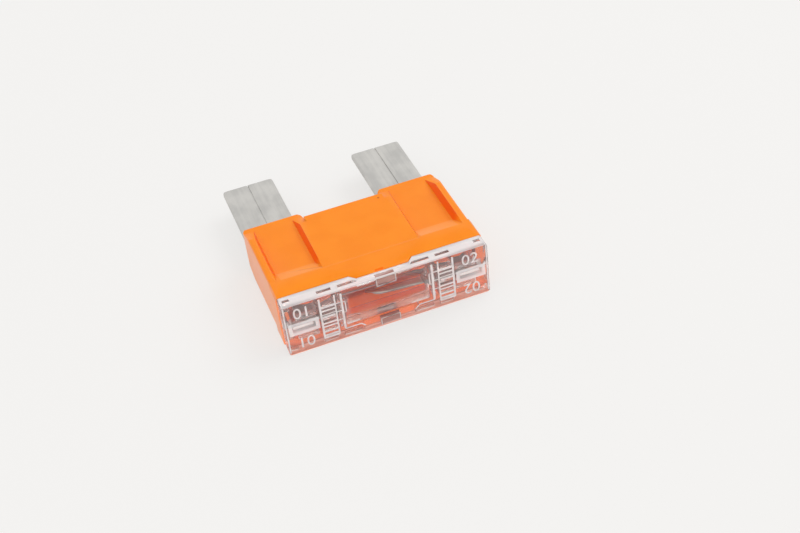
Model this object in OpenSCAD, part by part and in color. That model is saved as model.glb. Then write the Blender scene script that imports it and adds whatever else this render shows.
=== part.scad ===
// Maxi-size blade fuse, lying on its broad face. X is the width, Y the way it plugs
// in, with the blades towards +Y, and Z the thickness. Three pieces: a coloured
// housing, a clear cap that latches into its mouth, and one folded metal element.

/* [Overall] */
// Length from the cap's face to the blade tips
fuse_l = 34; // [32:0.1:37]
// Width of the cap and of the housing's flange
body_w = 29.2; // [28.8:0.1:32]
// Thickness of the cap and of the housing
body_t = 8.3; // [7.8:0.1:10]
// Length from the cap's face to the far end of the housing
body_l = 20.1; // [19:0.1:22]
// Play between pieces that fit into each other
fit_gap = 0.08; // [0.04:0.01:0.12]
// Radius along the long outer edges of the cap and the flange
edge_r = 0.35; // [0.2:0.05:0.6]

/* [Housing] */
// Thickness of the housing's walls
wall_t = 1.1; // [0.9:0.05:1.3]
// How far the skirt's sides stand back from the flange
skirt_inset = 0.15; // [0.1:0.05:0.3]
// Radius along the skirt's long outer edges
skirt_r = 0.5; // [0.3:0.05:0.7]
// Length of the flange behind the cap
flange_l = 3; // [2:0.1:3.4]
// Length of the slope from the flange to the skirt
flange_slope_l = 0.9; // [0.4:0.1:1.2]
// How far the middle panel lies below the flange and the rails
panel_drop = 0.12; // [0.05:0.01:0.25]
// Radius of the skirt's two far corners
corner_r = 1; // [0.6:0.1:1.4]
// Radius of the far corners at the gap between the blades
inner_r = 1.2; // [0.6:0.1:1.4]
// Radius of the far end's edges above and below the blades
end_r = 0.3; // [0.2:0.05:0.6]
// How far the far end stands back between the blades
waist_d = 2.3; // [1.6:0.1:2.6]
// Radius of the middle panel's far edges
panel_r = 0.4; // [0.2:0.05:0.6]
// Thickness of the end wall that the blades pass through
end_wall_t = 3.2; // [2:0.1:4]

/* [Blade pockets] */
// Width of the middle panel between the recesses
panel_w = 13.6; // [13.2:0.1:14]
// Width of the recess above each blade, at its mouth
pocket_w = 6.6; // [5:0.1:6.8]
// Depth of the recess
pocket_d = 1.2; // [0.8:0.05:1.3]
// How far the recess's side walls lean in
pocket_draft = 0.5; // [0.1:0.05:0.6]
// Length over which the rails beside the recess slope down
rail_slope_l = 3.1; // [2:0.1:4]
// Length of the level part behind the slope
end_flat_l = 1.2; // [0.8:0.1:2]
// Distance from the joint to the recess's near end
pocket_start = 3.5; // [3.2:0.1:5]
// Length of the slope at the near end
pocket_slope_l = 2.8; // [1.5:0.1:3.5]

/* [Cap] */
// How far the cap's sides stand back from the flange
cap_inset = 0.12; // [0.05:0.01:0.2]
// Length of the cap's sides
cap_l = 2.2; // [1.9:0.1:3]
// Thickness of the cap's face
face_t = 0.9; // [0.8:0.05:1]
// Thickness of the cap's collar and inner ribs
rib_t = 0.5; // [0.4:0.05:0.6]
// How far the collar reaches into the housing
collar_l = 1.8; // [1:0.1:2.5]
// Width of the housing's tongue in the middle of the joint
tongue_w = 7.2; // [6:0.1:8]
// How far the tongue reaches into the cap's side
tongue_l = 0.8; // [0.5:0.05:0.9]

/* [Latch] */
// Width of the latch recess in the cap's broad sides
notch_w = 2.7; // [2.2:0.1:3.4]
// Depth of the latch recess
notch_d = 1.3; // [1.2:0.05:1.5]
// Thickness of the cap's face in front of the latch recess
notch_front = 0.3; // [0.25:0.05:0.5]
// Thickness of the cap between the latch recess and the tongue
notch_wall = 0.3; // [0.25:0.05:0.4]
// Width of the nick in the tongue
nick_w = 1.2; // [0.8:0.1:1.4]
// How far the nick stands off the middle
nick_x = 0.3; // [0.1:0.1:0.4]
// Depth and length of the nick
nick_d = 0.35; // [0.2:0.05:0.5]

/* [Cap recesses] */
// Depth of the small recesses in the cap's broad sides
recess_d = 0.45; // [0.2:0.05:0.6]
// Width of the recesses along the cap's length
recess_l = 0.55; // [0.3:0.05:0.6]
// Width of the small mark at either end
mark_w = 1; // [0.8:0.1:1.2]
// Distance from the cap's end to the mark
mark_in = 0.5; // [0.4:0.1:1]

/* [Rib nests] */
// Distance from a blade's middle to the inner side of its nest
nest_in = 3.35; // [3.1:0.05:3.5]
// Width of a nest of ribs
nest_w = 3; // [2.4:0.1:3.1]
// Height of a nest through the thickness
nest_h = 7; // [6.4:0.1:7.2]
// Spacing of the nest's two middle ribs
rung_gap = 3; // [2.6:0.1:3.6]
// Slot between a nest and the rail at the window's side
rail_gap = 0.4; // [0.3:0.05:0.6]
// Thickness of the two thin ribs that hold the sheet
slat_t = 0.35; // [0.3:0.05:0.45]
// Distance from the mid plane down to the lower thin rib
slat_down = 0.9; // [0.85:0.05:1]
// Distance from the mid plane up to the upper thin rib
slat_up = 0.55; // [0.3:0.05:0.6]

/* [Test points] */
// Width of the test opening in the cap's face
test_w = 3.2; // [2.4:0.1:3.4]
// Height of the test opening
test_h = 1; // [0.8:0.05:1.2]
// How far the metal lies behind the cap's face
test_depth = 0.5; // [0.3:0.05:0.8]
// Distance from the blade's outer edge in to the opening
test_side = 0.6; // [0.5:0.05:0.8]

/* [Element] */
// Width of a blade
blade_w = 7.8; // [7:0.1:8]
// Thickness of a blade, which is two layers of sheet
blade_t = 0.8; // [0.7:0.05:1]
// Housing wall left outside each blade
blade_side = 0.35; // [0.3:0.05:0.6]
// Radius of the corners at a blade's tip
tip_r = 0.9; // [0.4:0.1:1.4]
// Length of the thinned edge at a blade's tip
tip_bevel = 0.5; // [0.2:0.1:1]
// Width of the seam where the folded edges meet
seam_w = 0.16; // [0.08:0.01:0.3]
// Gap left between the two layers
layer_gap = 0.03; // [0.02:0.01:0.06]
// Distance from the cap's face to the edge of the blades' heads
head_y = 1.7; // [1.6:0.05:2]
// Length of the blade's head that isn't folded
head_l = 9.4; // [9:0.1:10.4]
// Width of the fusible link
link_w = 1.4; // [1:0.1:1.8]
// Radius of the link's two bends along its middle
link_r = 1.45; // [1.2:0.05:1.7]
// Slope of the link's arms, in degrees
link_slope = 4.5; // [0:0.5:8]

/* [Hidden] */
eps = 0.01;
mid_z = body_t / 2;
joint_y = cap_l;
skirt_w = body_w - 2 * skirt_inset;
cap_w = body_w - 2 * cap_inset;
tongue_y = joint_y - tongue_l;
// Mouth of the housing, and the collar of the cap that goes into it
mouth_w = body_w - 2 * (wall_t + skirt_inset);
mouth_t = body_t - 2 * wall_t;
collar_w = mouth_w - 2 * fit_gap;
collar_t = mouth_t - 2 * fit_gap;
mouth_l = collar_l + 0.3;
// Bays behind the recesses, where the blades' heads lie
bay_t = body_t - 2 * (pocket_d + wall_t);
blade_x = skirt_w / 2 - blade_side - blade_w / 2;
panel_x = panel_w / 2;
pocket_x = panel_x + pocket_w / 2;
block_in = panel_x - wall_t;
waist_y = body_l - waist_d;
slope_y = body_l - end_flat_l - rail_slope_l;
cavity_end = waist_y - wall_t;
bay_end = body_l - end_wall_t;
nest_x = blade_x - nest_in;
rail_x = nest_x - rail_gap - rib_t;
// Sheet of the element: its lower layer carries the link
sheet_t = (blade_t - layer_gap) / 2;
sheet_z = mid_z - blade_t / 2;
fold_start = head_y + head_l;
test_x = blade_x + blade_w / 2 - test_w / 2 - test_side;
chimney_wall = 0.45;
tab_w = test_w - 2 * fit_gap - 0.2;
link_mid_y = head_y + 0.05 + link_w / 2 + 2 * link_r
    + (blade_x - blade_w / 2) * tan(link_slope);

// Points along an arc, in degrees
function arc(c, r, a0, a1, n) =
    [for (i = [0:n]) c + r * [cos(a0 + (a1 - a0) * i / n), sin(a0 + (a1 - a0) * i / n)]];

// Outline of a rectangle with round corners, centred
function round_rect(w, h, r) = concat(
    arc([w / 2 - r, h / 2 - r], r, 0, 90, 5), arc([r - w / 2, h / 2 - r], r, 90, 180, 5),
    arc([r - w / 2, r - h / 2], r, 180, 270, 5), arc([w / 2 - r, r - h / 2], r, 270, 360, 5));

// A bar along Y with round long edges, from y0 to y1, centred on the mid plane
module round_bar(w, t, r, y0, y1)
    translate([0, y1, mid_z]) rotate([90, 0, 0]) linear_extrude(y1 - y0) polygon(round_rect(w, t, r));

// A plain block by its lowest and highest corners
module block(a, b) translate(a) cube(b - a);

// The same thing on both halves of the width, and on both broad faces
module both_ends() { children(); mirror([1, 0, 0]) children(); }
module both_faces() { children(); translate([0, 0, body_t]) mirror([0, 0, 1]) children(); }

// Puts the middle of the fuse over the origin
module laid() translate([0, -fuse_l / 2, 0]) children();

// The housing, seen from the side: its middle, with round edges at the far end
module middle_profile()
    for (m = [0, 1]) translate([0, mid_z]) mirror([0, m])
        polygon(concat([[joint_y + fit_gap / 2, -1], [joint_y + fit_gap / 2, mid_z],
            [waist_y - panel_r, mid_z]],
            arc([waist_y - panel_r, mid_z - panel_drop - panel_r], panel_r, 80, 0, 5), [[waist_y, -1]]));

// Seen from above: one side with its flange, its skirt and the two far corners
module side_plan() {
    f = body_w / 2;
    s = skirt_w / 2;
    y1 = joint_y + fit_gap / 2;
    y2 = joint_y + flange_l;
    polygon(concat(
        [[block_in, y1], [f, y1], [f, y2], [s, y2 + flange_slope_l]],
        arc([s - corner_r, body_l - corner_r], corner_r, 0, 90, 8),
        arc([block_in + inner_r, body_l - inner_r], inner_r, 90, 180, 8)));
}

// Seen from the side: the rails slope down to the level end, whose edges are round
module side_profile() {
    h = mid_z - pocket_d;
    for (m = [0, 1]) translate([0, mid_z]) mirror([0, m])
        polygon(concat([[0, -1], [0, mid_z], [slope_y, mid_z], [slope_y + rail_slope_l, h]],
            arc([body_l - end_r, h - end_r], end_r, 90, 0, 6), [[body_l, -1]]));
}

module housing_outside() intersection() {
    union() {
        translate([-block_in - 0.1, 0, 0]) rotate([90, 0, 90])
            linear_extrude(2 * block_in + 0.2) middle_profile();
        intersection() {
            linear_extrude(body_t) both_ends() side_plan();
            translate([-body_w, 0, 0]) rotate([90, 0, 90]) linear_extrude(2 * body_w) side_profile();
        }
    }
    union() {
        round_bar(body_w, body_t, edge_r, 0, joint_y + flange_l + flange_slope_l);
        round_bar(skirt_w, body_t, skirt_r, 0, body_l + 1);
    }
}

// Recess over a blade: its side walls lean and its near end slopes
module pocket() {
    y0 = joint_y + pocket_start;
    intersection() {
        translate([pocket_x, body_l + 1, body_t]) rotate([90, 0, 0]) linear_extrude(body_l)
            polygon([[-pocket_w / 2 - pocket_draft, 1], [pocket_w / 2 + pocket_draft, 1],
                [pocket_w / 2, 0], [pocket_w / 2 - pocket_draft, -pocket_d],
                [pocket_draft - pocket_w / 2, -pocket_d], [-pocket_w / 2, 0]]);
        translate([pocket_x - pocket_w, 0, body_t]) rotate([90, 0, 90]) linear_extrude(2 * pocket_w)
            polygon([[y0 - 1, 1], [y0, 0], [y0 + pocket_slope_l, -pocket_d],
                [body_l + 1, -pocket_d], [body_l + 1, 1]]);
    }
}

// Hollow of the housing: mouth, middle, and a bay and a slot for each blade
module housing_hollow() {
    y1 = joint_y - 1;
    round_bar(mouth_w, mouth_t, 0.3, joint_y, joint_y + mouth_l);
    block([-block_in, y1, wall_t], [block_in, cavity_end, body_t - wall_t]);
    both_ends() {
        block([block_in - 1, y1, mid_z - bay_t / 2], [mouth_w / 2 - 0.2, bay_end, mid_z + bay_t / 2]);
        block([blade_x - blade_w / 2 - fit_gap, y1, mid_z - blade_t / 2 - fit_gap],
            [blade_x + blade_w / 2 + fit_gap, body_l + 1, mid_z + blade_t / 2 + fit_gap]);
    }
}

// Tongue in the middle of the joint, grown by g where the cap makes room for it
module tongue(g) {
    w = tongue_w / 2 + g;
    y = tongue_y - g;
    linear_extrude(wall_t + g)
        polygon([[-w, y], [w, y], [w + tongue_l, joint_y - g], [w + tongue_l, joint_y + 1],
            [-w - tongue_l, joint_y + 1], [-w - tongue_l, joint_y - g]]);
}

// Tongue with a nick behind its front edge
module latch() {
    x0 = -nick_x - nick_w / 2;
    x1 = -nick_x + nick_w / 2;
    difference() {
        tongue(0);
        block([x0, tongue_y + nick_d / 2, -1], [x1, tongue_y + 1.5 * nick_d, nick_d]);
    }
}

module housing() {
    color("darkorange") laid() {
        difference() {
            housing_outside();
            housing_hollow();
            both_ends() both_faces() pocket();
            both_faces() panel_cut();
        }
        both_faces() latch();
    }
}

// Thin layer taken off the middle panel behind the flange
module panel_cut() {
    y0 = joint_y + flange_l;
    x = panel_x + 0.2;
    translate([-x, 0, body_t]) rotate([90, 0, 90]) linear_extrude(2 * x)
        polygon([[y0, eps], [y0 + 0.4, -panel_drop], [body_l + 1, -panel_drop], [body_l + 1, eps]]);
}

// The clear cap's small recesses in one broad side: an end mark, a bar and a slanted bar
module cap_recesses() {
    y0 = face_t - 0.15;
    translate([0, 0, body_t - recess_d]) linear_extrude(recess_d + 1) {
        translate([nest_x + rib_t, y0]) square([nest_w - 2 * rib_t, recess_l]);
        translate([cap_w / 2 - mark_in - mark_w, y0 + recess_l / 2]) square([mark_w, recess_l]);
        polygon([[tongue_w / 2, y0], [rail_x + rib_t, y0], [rail_x + rib_t, y0 + recess_l],
            [tongue_w / 2 + recess_l, y0 + recess_l]]);
    }
}

// Nest of ribs behind the face, which clamps the head of a blade
module rib_nest() {
    y0 = face_t - eps;
    y1 = joint_y + 0.3;
    x1 = nest_x + nest_w;
    z0 = mid_z - nest_h / 2;
    z1 = mid_z + nest_h / 2;
    for (x = [nest_x, x1 - rib_t]) block([x, y0, z0], [x + rib_t, y1, z1]);
    for (z = [-nest_h / 2, -rung_gap / 2 - rib_t / 2, rung_gap / 2 - rib_t / 2, nest_h / 2 - rib_t])
        block([nest_x, y0, mid_z + z], [x1, y1, mid_z + z + rib_t]);
    for (z = [-slat_down, slat_up]) block([nest_x, y0, mid_z + z], [x1, y1, mid_z + z + slat_t]);
    block([rail_x, y0, z0], [rail_x + rib_t, y1, z1]);
    for (z = [-rung_gap / 2, rung_gap / 2])
        block([rail_x, y0, mid_z + z - rib_t / 2], [nest_x + eps, y1, mid_z + z + rib_t / 2]);
    block([rail_x - rib_t, y0, mid_z + 0.1], [rail_x + eps, y1, mid_z + rung_gap / 2]);
}

// Walls round the test opening, which reach back to the metal
module chimney() {
    y1 = joint_y + 0.3;
    w = test_w / 2 + chimney_wall;
    h = test_h / 2 + chimney_wall;
    block([test_x - w, face_t - eps, mid_z - h], [test_x + w, y1, mid_z + h]);
}

// Room for the sheet's edge in the ribs and the chimney
module sheet_slot()
    block([rail_x - 2, head_y - fit_gap, sheet_z - fit_gap],
        [blade_x + blade_w / 2 + fit_gap, joint_y + 3, sheet_z + sheet_t + fit_gap]);

module clear_cap() {
    inner_w = collar_w - 2 * rib_t;
    inner_t = collar_t - 2 * rib_t;
    color("whitesmoke", 0.45) laid() difference() {
        union() {
            difference() {
                union() {
                    round_bar(cap_w, body_t, edge_r, 0, joint_y - fit_gap / 2);
                    round_bar(collar_w, collar_t, 0.3, face_t, joint_y + collar_l);
                }
                round_bar(inner_w, inner_t, 0.2, face_t, joint_y + collar_l + 1);
            }
            both_ends() {
                intersection() {
                    union() {
                        rib_nest();
                        chimney();
                    }
                    round_bar(collar_w - eps, collar_t - eps, 0.3, 0, joint_y + collar_l);
                }
            }
        }
        both_ends() {
            sheet_slot();
            block([test_x - test_w / 2, -1, mid_z - test_h / 2],
                [test_x + test_w / 2, joint_y + 1, mid_z + test_h / 2]);
            both_faces() cap_recesses();
        }
        both_faces() {
            translate([0, 0, -eps]) tongue(fit_gap);
            block([-notch_w / 2, notch_front, -1], [notch_w / 2, tongue_y - fit_gap - notch_wall, notch_d]);
        }
    }
}

// One arm and one bend of the element's S-shaped link, from the blade's head to the middle
module link_half() {
    a = 270 - link_slope;
    o = [0, link_mid_y - link_r];
    start = o + link_r * [cos(a), sin(a)];
    run = blade_x - blade_w / 2 + link_w / 4 - start[0];
    end = start + run * [1, -tan(link_slope)];
    n = link_w / 2 * [cos(a), sin(a)];
    polygon(concat([end - n, end + n], arc(o, link_r + link_w / 2, a, 90, 24),
        arc(o, link_r - link_w / 2, 90, a, 24)));
}

// Flat sheet of one blade with its head and the tab behind the test opening
module blade_plan() {
    x0 = blade_x - blade_w / 2;
    x1 = blade_x + blade_w / 2;
    tab0 = test_x - tab_w / 2;
    tab1 = test_x + tab_w / 2;
    polygon(concat([[x0, head_y], [tab0, head_y], [tab0, test_depth], [tab1, test_depth],
        [tab1, head_y], [x1, head_y]],
        arc([x1 - tip_r, fuse_l - tip_r], tip_r, 0, 90, 8),
        arc([x0 + tip_r, fuse_l - tip_r], tip_r, 90, 180, 8)));
}

// Section of a folded blade: the two edges are turned over and meet at the seam
module folded_section() {
    w = blade_w / 2;
    r = blade_t / 2;
    g = layer_gap / 2;
    half = concat([[0, -r], [w - r, -r]], arc([w - r, 0], r, -90, 90, 12),
        [[seam_w / 2, r], [seam_w / 2, g]], arc([w - r, 0], g, 90, -90, 6), [[0, -g]]);
    polygon(half);
    mirror([1, 0]) polygon(half);
}

// Thickness along a blade, thinned at the tip
module tip_profile() {
    r = blade_t / 2;
    polygon([[0, -r], [fuse_l - tip_bevel, -r], [fuse_l, -r / 2], [fuse_l, r / 2],
        [fuse_l - tip_bevel, r], [0, r]]);
}

module blade() {
    intersection() {
        translate([0, 0, mid_z - blade_t]) linear_extrude(2 * blade_t) blade_plan();
        union() {
            translate([0, 0, sheet_z]) linear_extrude(sheet_t)
                translate([blade_x - blade_w / 2, 0]) square([blade_w, fold_start + eps]);
            translate([blade_x, fuse_l, mid_z]) rotate([90, 0, 0])
                linear_extrude(fuse_l - fold_start) folded_section();
        }
        translate([0, 0, mid_z]) rotate([90, 0, 90]) linear_extrude(body_w) tip_profile();
    }
}

module fuse_element() {
    color("silver") laid() {
        both_ends() blade();
        translate([0, 0, sheet_z]) linear_extrude(sheet_t) {
            link_half();
            translate([0, 2 * link_mid_y]) rotate(180) link_half();
        }
    }
}

housing();
clear_cap();
fuse_element();
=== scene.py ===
# Looks of a maxi-size blade fuse that lies on a pale table, seen over its clear cap.
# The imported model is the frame: X is the width, Y the way the fuse plugs in, Z the thickness.
# Lengths are in metres, and MM turns millimetres into them.

import math

import bmesh
import bpy
from mathutils import Matrix, Vector
from mathutils.bvhtree import BVHTree


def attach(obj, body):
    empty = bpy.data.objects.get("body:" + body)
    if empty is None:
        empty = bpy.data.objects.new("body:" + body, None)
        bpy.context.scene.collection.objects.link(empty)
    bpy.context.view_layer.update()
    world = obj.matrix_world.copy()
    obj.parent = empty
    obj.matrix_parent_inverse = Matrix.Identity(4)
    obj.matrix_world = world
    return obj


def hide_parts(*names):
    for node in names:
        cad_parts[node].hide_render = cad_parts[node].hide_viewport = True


MM = 0.001

# The photograph's camera: its place, and how it turns, looks down and leans, in radians
PHOTO_W = 800
FOCAL_PX = 1307.4
SENSOR_W = 36.0
CAMERA_AT = Vector((-34.95, -143.59, 118.48)) * MM
CAMERA_YAW = 0.28475
CAMERA_PITCH = 0.69230
CAMERA_ROLL = -0.12362

# Table, backdrop and lamps
TABLE_SIZE = 3.0
TABLE_DROP = 0.03 * MM
TABLE_COLOUR = (0.90, 0.89, 0.875, 1)
BACKDROP_COLOUR = (1, 1, 1, 1)
TABLE_SEEN_WHITE = 0.7
AMBIENT = 0.80
KEY_AT = Vector((0.52, 0.08, 0.62))
KEY_SIZE = 0.45
KEY_POWER = 1.5
FILL_AT = Vector((-0.45, -0.35, 0.50))
FILL_SIZE = 0.7
FILL_POWER = 0.6

# Soft edges: their width on each piece, and what counts as sharp, smooth, flat, stray or folded
HOUSING_EDGE = 0.08 * MM
ELEMENT_EDGE = 0.05 * MM
EDGE_STEPS = 2
EDGE_REACH = 1.2
STRAY_SHARE = 0.6
SOFTEN_TRIES = 6
MERGE_GAP = 0.001 * MM
FLAT_ANGLE = math.radians(0.5)
EDGE_ANGLE = math.radians(28)
SMOOTH_ANGLE = math.radians(50)
FOLD_ANGLE = math.radians(150)

# Height of the fuse's mid plane, and the plane of the cap's face
MID_Z = 4.15 * MM
FACE_Y = -17 * MM

# Where looks begin and end, from low to high, with a third number for how soft a band's borders are.
# X is the distance from the fuse's middle, Y the place along it, Z the height over the table, and OFF
# the distance from its mid plane. CRISP is a sharp border.
CRISP = 0.02 * MM

# Leaning walls beside the recesses, painted a deeper red as shade: their feet, their lean, how near to them
# and where the painted shade begins
WALL_FOOT_IN = 7.3 * MM
WALL_FOOT_OUT = 12.9 * MM
WALL_FOOT_OFF = 2.95 * MM
WALL_LEAN = 0.417
WALL_NEAR = (0.02 * MM, 0.06 * MM)
WALL_OFF = (2.98 * MM, 3.1 * MM)
WALL_Y = (-10.5 * MM, -8.5 * MM)
WALL_SHADE_SHARE = 0.9

# Painted light on the slopes at the recesses' near ends, and a painted pinkish sheen on the narrow sides
SLOPE_X = (7.3 * MM, 12.7 * MM, 0.1 * MM)
SLOPE_Y = (-11.2 * MM, -8.7 * MM, 0.3 * MM)
SLOPE_Z = (7.0 * MM, 7.15 * MM)
SIDE_X = (14.3 * MM, 14.44 * MM)
SIDE_SHEEN_SHARE = 0.5

# Small dark speck of painted shade on the middle panel: its place, its size and how dark it is
SPECK_AT = (5.05 * MM, -0.3 * MM, 8.18 * MM)
SPECK_SIZE = (0.1 * MM, 0.24 * MM)
SPECK_SHADE_SHARE = 0.65

# Hollow of the housing, whose middle and mouth are higher than its bays, and the flange's front, where a
# painted glow stands for light coming through the plastic
BAY_OFF = 1.9 * MM
ROOM_OFF = 1.2 * MM
MIDDLE_X = (5.76 * MM, 5.86 * MM)
MOUTH_Y = (-12.66 * MM, -12.6 * MM)
HOLLOW_X = (13.37 * MM, 13.4 * MM)
HOLLOW_Y = (0.0, 0.1 * MM)
FRONT_Y = (-14.74 * MM, -14.70 * MM)
FRONT_OFF = (3.9 * MM, 4.0 * MM)
LIGHT_Y = (-14.5 * MM, -7.5 * MM)

# Clear cap: its broad sides, ribs, walls round the test openings, lower wall, notches, window and collar
BROAD_OFF = (4.0 * MM, 4.12 * MM)
RIBS_X = (5.4 * MM, 9.86 * MM, CRISP)
RIBS_Y = (-16.06 * MM, -14.2 * MM, CRISP)
RIBS_OFF = (2.44 * MM, 2.46 * MM)
TEST_X = (9.8 * MM, 14.0 * MM, 0.05 * MM)
TEST_OFF = (0.98 * MM, 1.05 * MM)
INSIDE_Y = (-16.2 * MM, -16.08 * MM)
LOWER_WALL = 0.9 * MM
UNDER_Z = (0.1 * MM, 0.25 * MM)
NOTCH_X = (1.37 * MM, 1.39 * MM)
NOTCH_Y = (-16.72 * MM, -15.9 * MM, CRISP)
NOTCH_OFF = (2.8 * MM, 4.0 * MM, 0.04 * MM)
WINDOW_X = (5.3 * MM, 5.4 * MM)
WINDOW_OFF = (2.8 * MM, 3.2 * MM)
COLLAR_Y = (-14.9 * MM, -14.6 * MM)

# Share of painted white sheen on the clear plastic, where light shines off and through it: all over, and
# what each part of the cap adds to it
PAINTED_SHEEN = (0.10, 0.14)
PAINTED_SHEEN_WINDOW = -0.07
PAINTED_SHEEN_BROAD = 0.66
PAINTED_SHEEN_RIBS = 0.2
PAINTED_SHEEN_TEST = 0.65
PAINTED_SHEEN_UNDER = 0.1
PAINTED_SHADE_NOTCH = 0.5

# Front edges of the heads behind the test openings, with a painted highlight, and how much less metallic
# they look
HEAD_Y = (-15.2 * MM, -14.6 * MM)
HEAD_HIGHLIGHT_SHARE = 0.8

# Colours of the three materials, with their painted shade, painted highlights and painted sheen, and of the
# painted glow that stands for light shining through the plastic
BLACK = (0, 0, 0, 1)
ORANGE_DEEP = (0.97, 0.250, 0.0, 1)
ORANGE_BRIGHT = (1.0, 0.272, 0.004, 1)
# Painted shade on the leaning walls
WALL_SHADE_RED = (0.90, 0.10, 0.0, 1)
# Painted light on the near slopes and painted sheen on the narrow sides
SLOPE_LIGHT_ORANGE = (1.0, 0.31, 0.045, 1)
SIDE_SHEEN_PINK = (0.84, 0.43, 0.31, 1)
SPECK_SHADE_BROWN = (0.45, 0.05, 0.0, 1)
GLOW_NEAR = (0.34, 0.056, 0.016, 1)
GLOW_FAR = (0.03, 0.007, 0.005, 1)
GLOW_FRONT = (0.30, 0.05, 0.02, 1)
CLEAR_FACE = (1, 0.955, 0.94, 1)
CLEAR_COLLAR_REFLECTED = (1.0, 0.74, 0.66, 1)
SHEEN_FACE_WHITE = (0.97, 0.925, 0.92, 1)
REFLECTED_UNDER_PINK = (1.0, 0.48, 0.36, 1)
NOTCH_SHADE_PINK = (0.60, 0.29, 0.25, 1)
REFLECTED_COLLAR_ORANGE = (1.0, 0.42, 0.30, 1)
GLOW_UNDER = (0.22, 0.07, 0.04, 1)
HIGHLIGHT_AND_DIGIT_PALE = (0.95, 0.88, 0.87, 1)
TIN_DARK = (0.49, 0.48, 0.46, 1)
TIN_PALE = (0.60, 0.585, 0.555, 1)
HEAD_HIGHLIGHT_PALE = (0.86, 0.80, 0.78, 1)
GLOW_HEAD = (0.22, 0.18, 0.17, 1)

# Painted highlights along the edges of the ribs and notches on the cap's face: x and height of both ends and
# the width, in mm, for one side
FACE_HIGHLIGHTS = [
    (7.3, -3.1, 7.3, 3.75, 0.24), (9.4, -3.15, 9.4, 3.75, 0.3), (6.4, -2.5, 6.4, 3.6, 0.32),
    (7.3, 2.2, 9.4, 2.2, 0.4), (7.4, 1.55, 9.3, 1.55, 0.3), (7.5, 0.5, 9.3, 0.5, 0.34),
    (7.3, -0.6, 9.4, -0.6, 0.3), (7.3, -1.15, 9.4, -1.15, 0.26), (7.3, -2.0, 9.4, -2.0, 0.3),
    (7.3, -2.66, 9.4, -2.66, 0.34), (7.3, -3.04, 9.4, -3.04, 0.34), (7.3, 0.9, 9.3, 0.9, 0.2),
    (14.3, -3.8, 14.3, 4.0, 0.24), (6.4, 2.2, 7.3, 2.2, 0.2), (6.4, 0.75, 7.3, 0.75, 0.2),
    (6.4, -0.75, 7.3, -0.75, 0.2), (5.95, 0.3, 5.95, 2.1, 0.2), (5.95, 2.1, 6.4, 2.1, 0.16),
    (5.95, 0.3, 6.4, 0.3, 0.16), (4.2, -2.55, 6.4, -2.55, 0.22), (3.6, -3.1, 4.2, -2.55, 0.2),
    (1.35, 2.85, 1.35, 4.0, 0.16), (0, 2.85, 1.35, 2.85, 0.16),
    (1.35, -4.0, 1.35, -2.85, 0.16), (0, -2.85, 1.35, -2.85, 0.16),
]
# The beads that make them: sides round each bead, its depth over its width, and how far it sits in the face
BEAD_SIDES = 10
BEAD_FLATNESS = 0.3
BEAD_INSET = 0.025 * MM

# Metal low in the blades' seams
BLADE_X = 10.2 * MM
SEAM_Y = 9.8 * MM
SEAM_Z = 0.16 * MM
SEAM_SIZE = (0.2 * MM, 13.2 * MM, 0.24 * MM)

# Raised digits on the cap's face: left and right, their place, size, height over the face and smoothness
DIGITS = ("01", "02")
DIGIT_X = 11.9 * MM
DIGIT_Z = 2.45 * MM
DIGIT_SIZE = 2.5 * MM
DIGIT_PROUD = 0.03 * MM
DIGIT_STEPS = 4


class Wire:
    """An output socket of a finish. Its operators add Math nodes, so shader maths reads as plain sums."""

    def __init__(self, finish, socket):
        self.finish = finish
        self.socket = socket

    def __add__(self, other):
        return self.finish.maths("ADD", self, other)

    def __radd__(self, other):
        return self.finish.maths("ADD", other, self)

    def __sub__(self, other):
        return self.finish.maths("SUBTRACT", self, other)

    def __rsub__(self, other):
        return self.finish.maths("SUBTRACT", other, self)

    def __mul__(self, other):
        return self.finish.maths("MULTIPLY", self, other)

    def __rmul__(self, other):
        return self.finish.maths("MULTIPLY", other, self)

    def __abs__(self):
        return self.finish.maths("ABSOLUTE", self)


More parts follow.
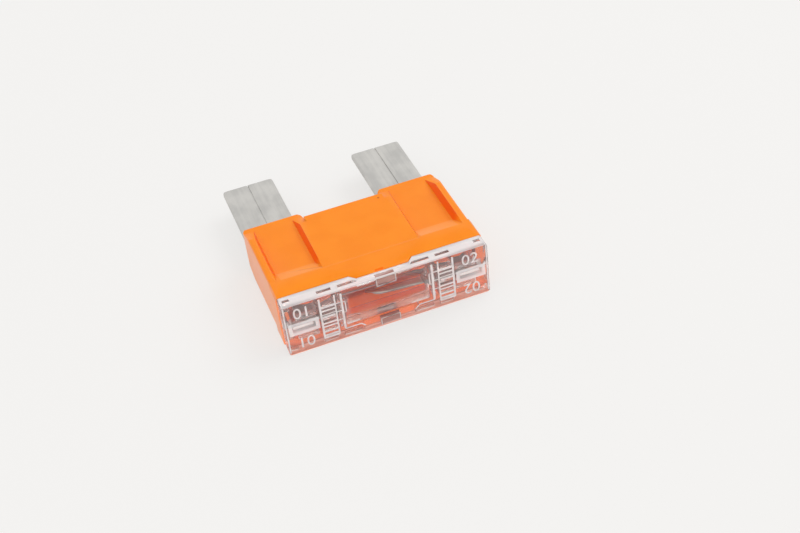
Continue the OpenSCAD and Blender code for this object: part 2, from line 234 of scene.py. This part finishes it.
class Finish:
    """One node tree: a material's or the world's."""

    def __init__(self, owner):
        owner.use_nodes = True
        self.owner = owner
        self.tree = owner.node_tree
        self.tree.nodes.clear()

    def node(self, kind, settings=None, sockets=None, output=0):
        """Adds a node: its settings first, then the values or links of its sockets."""
        made = self.tree.nodes.new("ShaderNode" + kind)
        for name, value in (settings or {}).items():
            setattr(made, name, value)
        for name, value in (sockets or {}).items():
            if isinstance(value, Wire):
                self.tree.links.new(value.socket, made.inputs[name])
            else:
                made.inputs[name].default_value = value
        return Wire(self, made.outputs[output]) if made.outputs else made

    def maths(self, operation, *values):
        """A Math node on wires and numbers."""
        return self.node("Math", {"operation": operation}, dict(enumerate(values)))

    def place(self):
        """Object coordinates, in metres."""
        return self.node("TexCoord", output="Object")

    def axes(self):
        """X, Y and Z of the place on the piece, in metres."""
        split = self.node("SeparateXYZ", sockets={"Vector": self.place()}).socket.node
        return [Wire(self, split.outputs[axis]) for axis in "XYZ"]

    def noise(self, size, stretch=(1, 1, 1), detail=3.0):
        """Soft noise from 0 to 1 whose spots are about size long, times stretch along each axis."""
        scale = [1 / (size * s) for s in stretch]
        at = self.node("Mapping", sockets={"Vector": self.place(), "Scale": scale})
        return self.node("TexNoise", sockets={"Vector": at, "Scale": 1.0, "Detail": detail})

    def ramp(self, value, low, high, start=0.0, end=1.0):
        """Goes smoothly from start to end while value goes from low to high."""
        return self.node("MapRange", {"interpolation_type": "SMOOTHSTEP"},
                         {0: value, 1: low, 2: high, 3: start, 4: end})

    def below(self, value, low, high):
        """1 below low, and smoothly down to 0 at high."""
        return self.ramp(value, low, high, 1.0, 0.0)

    def band(self, value, low, high, soft):
        """1 between low and high, and 0 outside, with soft borders."""
        return self.ramp(value, low - soft, low) * self.below(value, high, high + soft)

    def tint(self, factor, a, b):
        """Colour a, turning into colour b as factor goes from 0 to 1."""
        return self.node("Mix", {"data_type": "RGBA"}, {0: factor, 6: a, 7: b}, output=2)

    def seen(self):
        """1 for what the camera sees, also in gloss and through clear plastic, and 0 for light."""
        rays = self.node("LightPath").socket.node
        camera, gloss, through = [Wire(self, rays.outputs[name]) for name in
                                  ("Is Camera Ray", "Is Glossy Ray", "Is Transmission Ray")]
        return self.ramp(camera + gloss + through, 0.0, 1.0)

    def bump(self, height, depth):
        """A fine relief that is depth high where height is 1."""
        return self.node("Bump", sockets={"Strength": 1.0, "Distance": depth, "Height": height})

    def surface(self, shader):
        """Ends the tree with the shader, and gives back the material or world."""
        kind = "OutputWorld" if isinstance(self.owner, bpy.types.World) else "OutputMaterial"
        self.node(kind, sockets={"Surface": shader})
        return self.owner


def new_finish(name):
    """A new material, ready for its nodes."""
    return Finish(bpy.data.materials.new(name))


def orange_plastic():
    """Glossy moulded orange, a little translucent, with a faint moulded grain, painted shade and light on
    its recesses' walls and slopes, and a painted glow in its hollow.
    """
    f = new_finish("orange_plastic")
    cloud = f.noise(4 * MM)
    grain = f.noise(0.25 * MM, detail=2.0)
    x, y, z = f.axes()
    wide = abs(x)
    off = abs(z - MID_Z)
    # Painted shade: the leaning walls beside the recesses, which face away from the light, are painted a
    # deeper red
    lean = WALL_LEAN * (off - WALL_FOOT_OFF)
    away = f.maths("MINIMUM", abs(wide - WALL_FOOT_OUT - lean), abs(wide - WALL_FOOT_IN + lean))
    wall_shade = f.below(away, *WALL_NEAR) * f.ramp(off, *WALL_OFF) * f.ramp(y, *WALL_Y)
    colour = f.tint(f.ramp(cloud, 0.3, 0.7), ORANGE_DEEP, ORANGE_BRIGHT)
    colour = f.tint(wall_shade * WALL_SHADE_SHARE, colour, WALL_SHADE_RED)
    # Painted light: the slopes at the recesses' near ends, which face the light, are painted paler, and the
    # narrow sides get a painted pinkish sheen
    lit_slope = f.band(wide, *SLOPE_X) * f.band(y, *SLOPE_Y)
    colour = f.tint(lit_slope * f.ramp(z, *SLOPE_Z), colour, SLOPE_LIGHT_ORANGE)
    colour = f.tint(SIDE_SHEEN_SHARE * f.ramp(wide, *SIDE_X), colour, SIDE_SHEEN_PINK)
    # A small dark speck of painted shade on the panel
    spot = f.node("VectorMath", {"operation": "DISTANCE"}, {0: f.place(), 1: SPECK_AT}, output=1)
    colour = f.tint(SPECK_SHADE_SHARE * f.below(spot, *SPECK_SIZE), colour, SPECK_SHADE_BROWN)
    # Inner walls and the flange's front: a painted glow that stands for light coming through the plastic,
    # less of it farther in
    roomy = f.maths("MAXIMUM", f.below(wide, *MIDDLE_X), f.below(y, *MOUTH_Y))
    inner = f.ramp(BAY_OFF + ROOM_OFF * roomy - off, 0.0, CRISP)
    inner = inner * f.below(wide, *HOLLOW_X) * f.below(y, *HOLLOW_Y)
    front = f.below(y, *FRONT_Y) * f.below(off, *FRONT_OFF)
    glow = f.tint(f.ramp(y, *LIGHT_Y), GLOW_NEAR, GLOW_FAR)
    glow = f.tint(front, glow, GLOW_FRONT)
    glow = f.tint(f.maths("MAXIMUM", inner, front), BLACK, glow)
    return f.surface(f.node("BsdfPrincipled", {"subsurface_method": "RANDOM_WALK"}, {
        "Base Color": colour,
        "Roughness": f.ramp(cloud, 0.2, 0.8, 0.30, 0.38),
        "IOR": 1.55,
        "Specular IOR Level": 0.2,
        "Subsurface Weight": 0.12,
        "Subsurface Radius": (1.0, 0.35, 0.1),
        "Subsurface Scale": 0.8 * MM,
        "Emission Color": glow,
        "Emission Strength": 1.0,
        "Normal": f.bump(grain, 0.004 * MM),
    }))


def clear_plastic():
    """Clear moulded polycarbonate, with a painted white sheen on its broad sides, on its ribs and round the
    test openings.
    """
    f = new_finish("clear_plastic")
    x, y, z = f.axes()
    wide = abs(x)
    high = abs(z - MID_Z)
    cloud = f.noise(3 * MM)
    # Painted white sheen on the broad sides, the ribs and round the test openings, where light shines off
    # and through the plastic
    broad = f.ramp(high, *BROAD_OFF)
    ribs = f.band(y, *RIBS_Y) * f.band(wide, *RIBS_X) * f.below(high, *RIBS_OFF)
    test_sheen = f.band(wide, *TEST_X) * f.below(high, *TEST_OFF)
    # The underside and the inner faces of the lower wall, painted with a warm pink reflection of the housing
    # and a painted glow
    under = f.below(z - LOWER_WALL * f.ramp(y, *INSIDE_Y), *UNDER_Z)
    # The notches are painted a darker pink as shade
    notch = f.below(wide, *NOTCH_X) * f.band(y, *NOTCH_Y) * f.band(high, *NOTCH_OFF)
    window = f.below(wide, *WINDOW_X) * f.below(high, *WINDOW_OFF)
    # The painted share of sheen, shade and reflection, a little less of it in the window
    painted_share = f.ramp(cloud, 0.3, 0.7, *PAINTED_SHEEN) + PAINTED_SHEEN_WINDOW * window + PAINTED_SHEEN_BROAD * broad + PAINTED_SHEEN_RIBS * ribs
    painted_share = painted_share + PAINTED_SHEEN_TEST * test_sheen + PAINTED_SHEEN_UNDER * under + PAINTED_SHADE_NOTCH * notch
    # The collar is painted with an orange reflection of the housing round it
    collar = f.ramp(y, *COLLAR_Y)
    colour = f.tint(under, SHEEN_FACE_WHITE, REFLECTED_UNDER_PINK)
    colour = f.tint(notch, colour, NOTCH_SHADE_PINK)
    colour = f.tint(collar, colour, REFLECTED_COLLAR_ORANGE)
    clear = f.node("BsdfPrincipled", sockets={
        "Base Color": f.tint(collar, CLEAR_FACE, CLEAR_COLLAR_REFLECTED),
        "Roughness": 0.03,
        "IOR": 1.3,
        "Transmission Weight": 1.0,
    })
    painted_shader = f.node("BsdfPrincipled", sockets={
        "Base Color": colour,
        "Roughness": 0.3,
        "Emission Color": f.tint(under, BLACK, GLOW_UNDER),
        "Emission Strength": 1.0,
    })
    return f.surface(f.node("MixShader", sockets={0: painted_share, 1: clear, 2: painted_shader}))


def highlight_and_digit_relief():
    """Pale raised digits of the clear plastic, and pale beads that are painted highlights along its edges.
    """
    f = new_finish("highlight_and_digit_relief")
    cloud = f.noise(1.2 * MM)
    return f.surface(f.node("BsdfPrincipled", sockets={
        "Base Color": HIGHLIGHT_AND_DIGIT_PALE,
        "Roughness": 0.3,
        "Alpha": f.ramp(cloud, 0.3, 0.7, 0.75, 0.95),
    }))


def tinned_metal():
    """Matt tin on sheet metal, with soft rolling streaks and clouds along the blades."""
    f = new_finish("tinned_metal")
    streak = f.noise(0.7 * MM, stretch=(1, 22, 1))
    cloud = f.noise(2.5 * MM, stretch=(1, 1.6, 1))
    mixed = 0.4 * streak + 0.6 * cloud
    tin = f.tint(f.ramp(mixed, 0.35, 0.65), TIN_DARK, TIN_PALE)
    # Painted highlight and painted glow on the heads' front edges behind the test openings
    x, y = f.axes()[:2]
    front = f.band(abs(x), *TEST_X) * f.below(y, *HEAD_Y)
    return f.surface(f.node("BsdfPrincipled", sockets={
        "Base Color": f.tint(front, tin, HEAD_HIGHLIGHT_PALE),
        "Metallic": 1.0 - HEAD_HIGHLIGHT_SHARE * front,
        "Emission Color": f.tint(front, BLACK, GLOW_HEAD),
        "Emission Strength": 1.0,
        "Roughness": f.ramp(mixed, 0.3, 0.7, 0.48, 0.36),
        "Normal": f.bump(streak, 0.004 * MM),
    }))


def table_top():
    """Matt pale table, whose shadows the camera, gloss and clear plastic see softened."""
    f = new_finish("table_top")
    matt = f.node("BsdfPrincipled", sockets={
        "Base Color": TABLE_COLOUR, "Roughness": 0.7, "Specular IOR Level": 0.2})
    glow = f.node("Emission", sockets={"Color": TABLE_COLOUR, "Strength": 1.0})
    return f.surface(f.node("MixShader", sockets={0: f.seen() * TABLE_SEEN_WHITE, 1: matt, 2: glow}))


def backdrop():
    """A soft even world that the camera, gloss and clear plastic see as white."""
    world = bpy.data.worlds.new("backdrop")
    f = Finish(world)
    white = f.ramp(f.seen(), 0.0, 1.0, AMBIENT, 1.0)
    bpy.context.scene.world = world
    return f.surface(f.node("Background", sockets={"Color": BACKDROP_COLOUR, "Strength": white}))


def add_object(name, data):
    """A new object at the origin, in the scene."""
    made = bpy.data.objects.new(name, data)
    bpy.context.scene.collection.objects.link(made)
    return made


def add_camera():
    """The photograph's camera."""
    forward = Vector((math.sin(CAMERA_YAW) * math.cos(CAMERA_PITCH),
                      math.cos(CAMERA_YAW) * math.cos(CAMERA_PITCH),
                      -math.sin(CAMERA_PITCH)))
    level = forward.cross(Vector((0, 0, 1))).normalized()
    upright = level.cross(forward)
    right = level * math.cos(CAMERA_ROLL) + upright * math.sin(CAMERA_ROLL)
    up = upright * math.cos(CAMERA_ROLL) - level * math.sin(CAMERA_ROLL)
    data = bpy.data.cameras.new("photo_camera")
    data.sensor_width = SENSOR_W
    data.lens = FOCAL_PX * SENSOR_W / PHOTO_W
    data.clip_start = 10 * MM
    camera = add_object("photo_camera", data)
    camera.matrix_world = Matrix.Translation(CAMERA_AT) @ Matrix((right, up, -forward)).transposed().to_4x4()
    bpy.context.scene.camera = camera


def add_lamp(name, at, size, power):
    """A square soft box that faces the fuse."""
    data = bpy.data.lights.new(name, "AREA")
    data.size = size
    data.energy = power
    lamp = add_object(name, data)
    lamp.location = at
    lamp.rotation_euler = at.to_track_quat("Z", "Y").to_euler()


def add_stage():
    """Table, backdrop and lamps."""
    mesh = bpy.data.meshes.new("table")
    half = TABLE_SIZE / 2
    corners = [(-half, -half), (half, -half), (half, half), (-half, half)]
    mesh.from_pydata([(x, y, -TABLE_DROP) for x, y in corners], [], [(0, 1, 2, 3)])
    mesh.materials.append(table_top())
    add_object("table", mesh)
    backdrop()
    add_lamp("key_lamp", KEY_AT, KEY_SIZE, KEY_POWER)
    add_lamp("fill_lamp", FILL_AT, FILL_SIZE, FILL_POWER)


def finished_mesh(holder):
    """The mesh of an object with its modifiers or letters worked out. The object is removed."""
    graph = bpy.context.evaluated_depsgraph_get()
    mesh = bpy.data.meshes.new_from_object(holder.evaluated_get(graph))
    bpy.data.objects.remove(holder)
    return mesh


def near_any(point, places):
    """Whether the point lies within the reach of any (place, reach)."""
    return any((point - place).length < reach for place, reach in places)


def soften(plain, width):
    """Rounds the sharp edges of a closed mesh, and leaves those sharp that have no room for it."""
    skin = BVHTree.FromBMesh(plain)
    tight = []
    for _ in range(SOFTEN_TRIES):
        work = plain.copy()
        edges = [edge for edge in work.edges if edge.calc_face_angle() > EDGE_ANGLE
                 and not any(near_any(vert.co, tight) for vert in edge.verts)]
        bmesh.ops.bevel(
            work, geom=edges, affect="EDGES", offset=width, offset_type="OFFSET", segments=EDGE_STEPS,
            profile=0.5, clamp_overlap=False, loop_slide=True, material=-1)
        off = [(vert.co.copy(), skin.find_nearest(vert.co)[3]) for vert in work.verts]
        faults = [(at, far + EDGE_REACH * width) for at, far in off if far > STRAY_SHARE * width]
        for edge in work.edges:
            if edge.calc_face_angle() > FOLD_ANGLE:
                middle = (edge.verts[0].co + edge.verts[1].co) / 2
                faults.append((middle, EDGE_REACH * width + edge.calc_length() / 2))
        if not faults:
            # Faces with many corners may be a little uneven, so they become triangles
            many = [face for face in work.faces if len(face.verts) > 4]
            bmesh.ops.triangulate(work, faces=many, ngon_method="BEAUTY")
            return work
        tight += faults
        work.free()
    return plain.copy()


def add_piece(name, work, finish):
    """Makes a piece of the object from a bmesh, which it uses up."""
    mesh = bpy.data.meshes.new(name)
    work.to_mesh(mesh)
    work.free()
    mesh.materials.append(finish)
    mesh.shade_smooth()
    mesh.set_sharp_from_angle(angle=SMOOTH_ANGLE)
    piece = add_object(name, mesh)
    weighted = piece.modifiers.new("flat_faces", "WEIGHTED_NORMAL")
    weighted.keep_sharp = True
    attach(piece, "root")
    return piece


def dressed(node, name, finish, width):
    """A merged copy of a CAD node, which stands for the node, with its edges softened by width or left."""
    plain = bmesh.new()
    plain.from_mesh(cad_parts[node].data)
    bmesh.ops.remove_doubles(plain, verts=plain.verts, dist=MERGE_GAP)
    if width:
        bmesh.ops.dissolve_limit(plain, angle_limit=FLAT_ANGLE, verts=plain.verts, edges=plain.edges)
        work = soften(plain, width)
    else:
        work = plain.copy()
    plain.free()
    piece = add_piece(name, work, finish)
    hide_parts(node)


def bead_tree():
    """Geometry Nodes: a flattened round bead along every edge of a wire, as wide as its half_width says."""
    tree = bpy.data.node_groups.new("bead", "GeometryNodeTree")
    ports = [("Wire", "NodeSocketGeometry"), ("Sides", "NodeSocketInt"), ("Flatness", "NodeSocketFloat"),
             ("Place", "NodeSocketFloat"), ("Finish", "NodeSocketMaterial")]
    for name, kind in ports:
        tree.interface.new_socket(name, in_out="INPUT", socket_type=kind)
    tree.interface.new_socket("Beads", in_out="OUTPUT", socket_type="NodeSocketGeometry")

    def node(kind, links=None, settings=None):
        """Adds a node, with what feeds each of its sockets."""
        made = tree.nodes.new(kind)
        for name, value in (settings or {}).items():
            setattr(made, name, value)
        for name, value in (links or {}).items():
            if isinstance(value, bpy.types.NodeSocket):
                tree.links.new(value, made.inputs[name])
            else:
                made.inputs[name].default_value = value
        return made

    given = node("NodeGroupInput").outputs
    wire = node("GeometryNodeMeshToCurve", {"Mesh": given["Wire"]})
    half = node("GeometryNodeInputNamedAttribute", {"Name": "half_width"}, {"data_type": "FLOAT"})
    ring = node("GeometryNodeCurvePrimitiveCircle", {"Resolution": given["Sides"], "Radius": 1.0})
    bead = node("GeometryNodeCurveToMesh", {
        "Curve": wire.outputs[0], "Profile Curve": ring.outputs["Curve"],
        "Scale": half.outputs["Attribute"], "Fill Caps": True})
    scale = node("ShaderNodeCombineXYZ", {"X": 1.0, "Y": given["Flatness"], "Z": 1.0})
    shift = node("ShaderNodeCombineXYZ", {"Y": given["Place"]})
    flat = node("GeometryNodeTransform", {
        "Geometry": bead.outputs[0], "Scale": scale.outputs[0], "Translation": shift.outputs[0]})
    real = node("GeometryNodeRealizeInstances", {"Geometry": flat.outputs[0]})
    done = node("GeometryNodeSetMaterial", {"Geometry": real.outputs[0], "Material": given["Finish"]})
    node("NodeGroupOutput", {"Beads": done.outputs[0]})
    return tree


def add_face_highlights(finish):
    """Painted highlights along the edges of the ribs and notches, as fine pale beads just proud of the cap's
    face.
    """
    points, edges, halves = [], [], []
    for side in (-1, 1):
        for x0, z0, x1, z1, width in FACE_HIGHLIGHTS:
            edges.append((len(points), len(points) + 1))
            points += [(side * x0 * MM, 0, z0 * MM + MID_Z), (side * x1 * MM, 0, z1 * MM + MID_Z)]
            halves += [width * MM / 2] * 2
    wire = bpy.data.meshes.new("face_wire")
    wire.from_pydata(points, edges, [])
    wire.attributes.new("half_width", "FLOAT", "POINT").data.foreach_set("value", halves)
    holder = add_object("face_wire", wire)
    tree = bead_tree()
    maker = holder.modifiers.new("beads", "NODES")
    maker.node_group = tree
    inputs = {"Sides": BEAD_SIDES, "Flatness": BEAD_FLATNESS, "Place": FACE_Y + BEAD_INSET, "Finish": finish}
    for item in tree.interface.items_tree:
        if item.in_out == "INPUT" and item.name in inputs:
            maker[item.identifier] = inputs[item.name]
    work = bmesh.new()
    work.from_mesh(finished_mesh(holder))
    bmesh.ops.remove_doubles(work, verts=work.verts, dist=MERGE_GAP)
    bmesh.ops.recalc_face_normals(work, faces=work.faces)
    add_piece("face_highlights", work, finish)


def add_seam_floors(finish):
    """Metal low in the seam of each blade, where the folded edges touch."""
    work = bmesh.new()
    for side in (-1, 1):
        at = Matrix.Translation((side * BLADE_X, SEAM_Y, MID_Z + SEAM_Z))
        bmesh.ops.create_cube(work, size=1, matrix=at @ Matrix.Diagonal((*SEAM_SIZE, 1)))
    add_piece("seam_floors", work, finish)


def add_digits(finish):
    """Plain raised digits beside the ribs, upright above and turned over below."""
    work = bmesh.new()
    for digits, x in zip(DIGITS, (-DIGIT_X, DIGIT_X)):
        for z, turned in ((DIGIT_Z, 0), (-DIGIT_Z, math.pi)):
            text = bpy.data.curves.new("digits", "FONT")
            text.body = digits
            text.size = DIGIT_SIZE
            text.extrude = DIGIT_PROUD
            text.resolution_u = DIGIT_STEPS
            text.align_x = "CENTER"
            text.align_y = "CENTER"
            flat = finished_mesh(add_object("digits", text))
            flat.transform(Matrix.Translation((x, FACE_Y, MID_Z + z)) @ Matrix.Rotation(turned, 4, "Y")
                           @ Matrix.Rotation(math.pi / 2, 4, "X"))
            work.from_mesh(flat)
            bpy.data.curves.remove(text)
            bpy.data.meshes.remove(flat)
    add_piece("face_digits", work, finish)


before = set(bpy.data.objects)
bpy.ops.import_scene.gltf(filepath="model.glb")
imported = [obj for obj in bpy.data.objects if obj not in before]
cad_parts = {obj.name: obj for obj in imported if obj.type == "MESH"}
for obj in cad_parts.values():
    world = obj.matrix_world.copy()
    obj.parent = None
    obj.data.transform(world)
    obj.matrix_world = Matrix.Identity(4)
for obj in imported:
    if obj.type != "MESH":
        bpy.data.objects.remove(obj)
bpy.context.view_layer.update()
bpy.context.scene.view_settings.view_transform = "Standard"
add_camera()
add_stage()
dressed("housing", "housing_shell", orange_plastic(), HOUSING_EDGE)
dressed("clear_cap", "cap_shell", clear_plastic(), 0)
metal = tinned_metal()
dressed("fuse_element", "element_sheet", metal, ELEMENT_EDGE)
add_seam_floors(metal)
highlights_and_digits = highlight_and_digit_relief()
# Pale beads as painted highlights along the cap's edges, and the raised digits
add_face_highlights(highlights_and_digits)
add_digits(highlights_and_digits)
